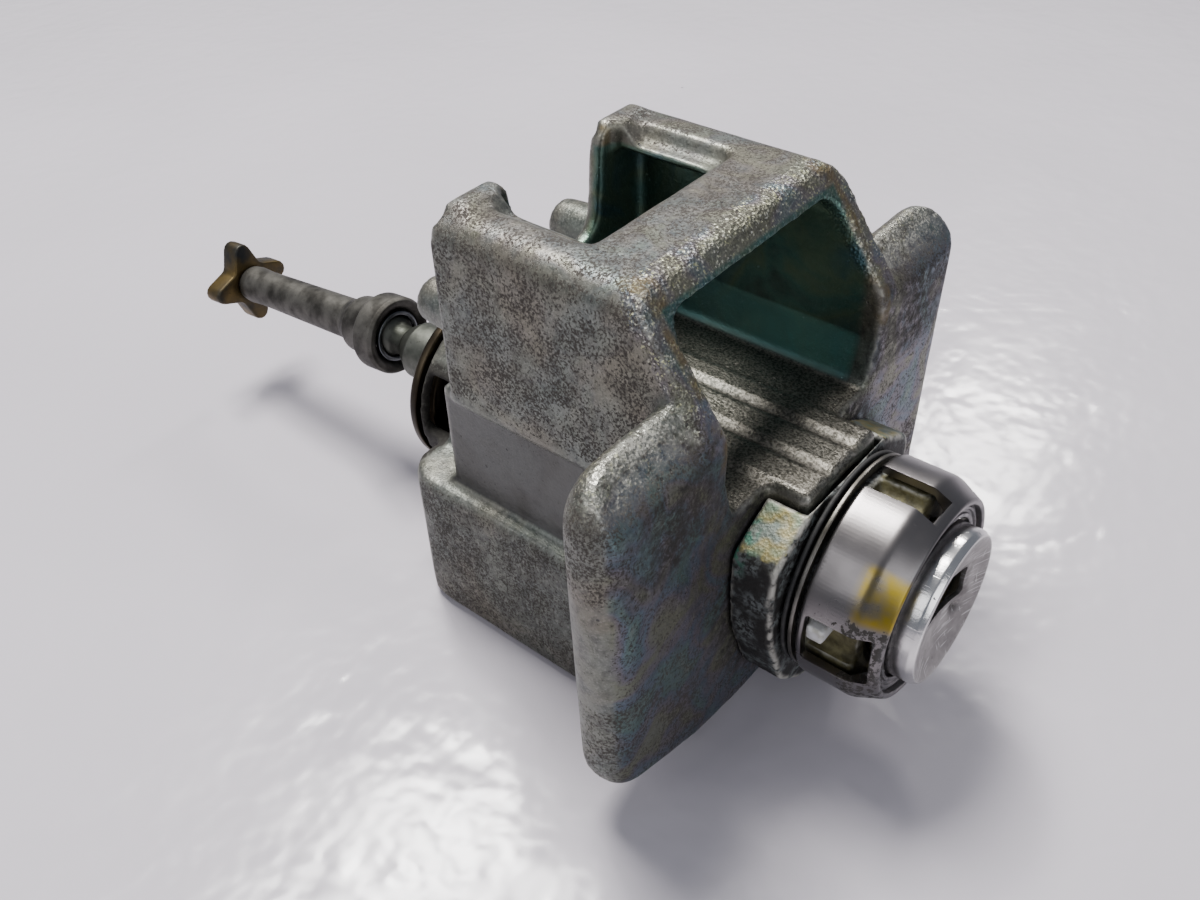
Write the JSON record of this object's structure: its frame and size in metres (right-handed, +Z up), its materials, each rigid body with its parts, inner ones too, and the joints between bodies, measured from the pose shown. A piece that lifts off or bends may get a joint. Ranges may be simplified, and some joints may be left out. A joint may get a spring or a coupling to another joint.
{
  "type": "vehicle door lock cylinder",
  "caption": "Key lock cylinder in a cast housing with a hood tunnel and side ears, a plated front cap, and a tail rod on a ball joint with a star end.",
  "frame": {"origin": "middle of the part's box, on its base plane", "axes": "+Y from the key face towards the tail rod along the lock axis, +Z up through the hood, +X across the ears"},
  "size_m": [0.0586, 0.108, 0.051],
  "materials": {
    "cast_zinc": "rough cast zinc with passivation tints",
    "body_zinc": "cast zinc with dark old grease",
    "cap_chrome": "polished",
    "face_nickel": "matt, scratched",
    "brass": "satin",
    "pin_steel": "bright",
    "spring_steel": "bright wire",
    "washer_steel": "satin",
    "dark_steel": "dark",
    "cover_steel": "dark yellowed plating",
    "driver_zinc": "satin",
    "tail_steel": "dark sintered",
    "star_bronze": "dark, oily",
    "seal_rubber": "matt"
  },
  "bodies": {
    "housing": {"outer_housing": "cast_zinc", "lock_body": "body_zinc", "body_pin": "pin_steel", "front_seal": "seal_rubber", "spacer_washer": "washer_steel", "front_cap": "cap_chrome", "return_spring": "spring_steel", "rear_cover": "cover_steel"},
    "plug": {"plug": "brass", "face_plate": "face_nickel", "shutter_pin": "pin_steel", "shutter_spring": "spring_steel", "plug_clip": "dark_steel", "wafer_spring_1": "spring_steel", "wafer_spring_2": "spring_steel", "wafer_spring_3": "spring_steel", "wafer_spring_4": "spring_steel", "wafer_spring_5": "spring_steel", "wafer_spring_6": "spring_steel", "wafer_spring_7": "spring_steel", "wafer_spring_8": "spring_steel"},
    "shutter": {"shutter_flap": "dark_steel"},
    "wafer_1_slide": {"wafer_1": "brass"},
    "wafer_2_slide": {"wafer_2": "brass"},
    "wafer_3_slide": {"wafer_3": "brass"},
    "wafer_4_slide": {"wafer_4": "brass"},
    "wafer_5_slide": {"wafer_5": "brass"},
    "wafer_6_slide": {"wafer_6": "brass"},
    "wafer_7_slide": {"wafer_7": "brass"},
    "wafer_8_slide": {"wafer_8": "brass"},
    "driver": {"driver": "driver_zinc"},
    "cross": {"cross_pin": "pin_steel"},
    "tail": {"tail_rod": "tail_steel", "ball_keeper": "pin_steel", "star_driver": "star_bronze"}
  },
  "joints": [
    {"name": "key_turn", "type": "hinge", "parent": "housing", "child": "plug", "pos_m": [0, -0.02928, 0.0184], "axis": [0, 1, 0], "range_deg": [-70, 70]},
    {"name": "driver_turn", "type": "hinge", "parent": "housing", "child": "driver", "pos_m": [0, 0.00272, 0.0184], "axis": [0, 1, 0], "range_deg": [-70, 70], "stiffness_Nm_per_rad": 0.02},
    {"name": "shutter_swing", "type": "hinge", "parent": "plug", "child": "shutter", "pos_m": [0, -0.05018, 0.021], "axis": [1, 0, 0], "range_deg": [0, 80]},
    {"name": "tail_yaw", "type": "hinge", "parent": "driver", "child": "cross", "pos_m": [0, 0.02192, 0.0184], "axis": [0, 0, 1], "range_deg": [-8, 8]},
    {"name": "tail_pitch", "type": "hinge", "parent": "cross", "child": "tail", "pos_m": [0, 0.02192, 0.0184], "axis": [1, 0, 0], "range_deg": [-9, 21]},
    {"name": "wafer_1_lift", "type": "slide", "parent": "plug", "child": "wafer_1_slide", "axis": [1, 0, 0], "range_m": [-0.0006, 0.0006]},
    {"name": "wafer_2_lift", "type": "slide", "parent": "plug", "child": "wafer_2_slide", "axis": [1, 0, 0], "range_m": [-0.0006, 0.0006]},
    {"name": "wafer_3_lift", "type": "slide", "parent": "plug", "child": "wafer_3_slide", "axis": [1, 0, 0], "range_m": [-0.0006, 0.0006]},
    {"name": "wafer_4_lift", "type": "slide", "parent": "plug", "child": "wafer_4_slide", "axis": [1, 0, 0], "range_m": [-0.0006, 0.0006]},
    {"name": "wafer_5_lift", "type": "slide", "parent": "plug", "child": "wafer_5_slide", "axis": [1, 0, 0], "range_m": [-0.0006, 0.0006]},
    {"name": "wafer_6_lift", "type": "slide", "parent": "plug", "child": "wafer_6_slide", "axis": [1, 0, 0], "range_m": [-0.0006, 0.0006]},
    {"name": "wafer_7_lift", "type": "slide", "parent": "plug", "child": "wafer_7_slide", "axis": [1, 0, 0], "range_m": [-0.0006, 0.0006]},
    {"name": "wafer_8_lift", "type": "slide", "parent": "plug", "child": "wafer_8_slide", "axis": [1, 0, 0], "range_m": [-0.0006, 0.0006]}
  ],
  "couplings": [
    {"joint": "key_turn", "follows": "driver_turn", "ratio": 1}
  ]
}
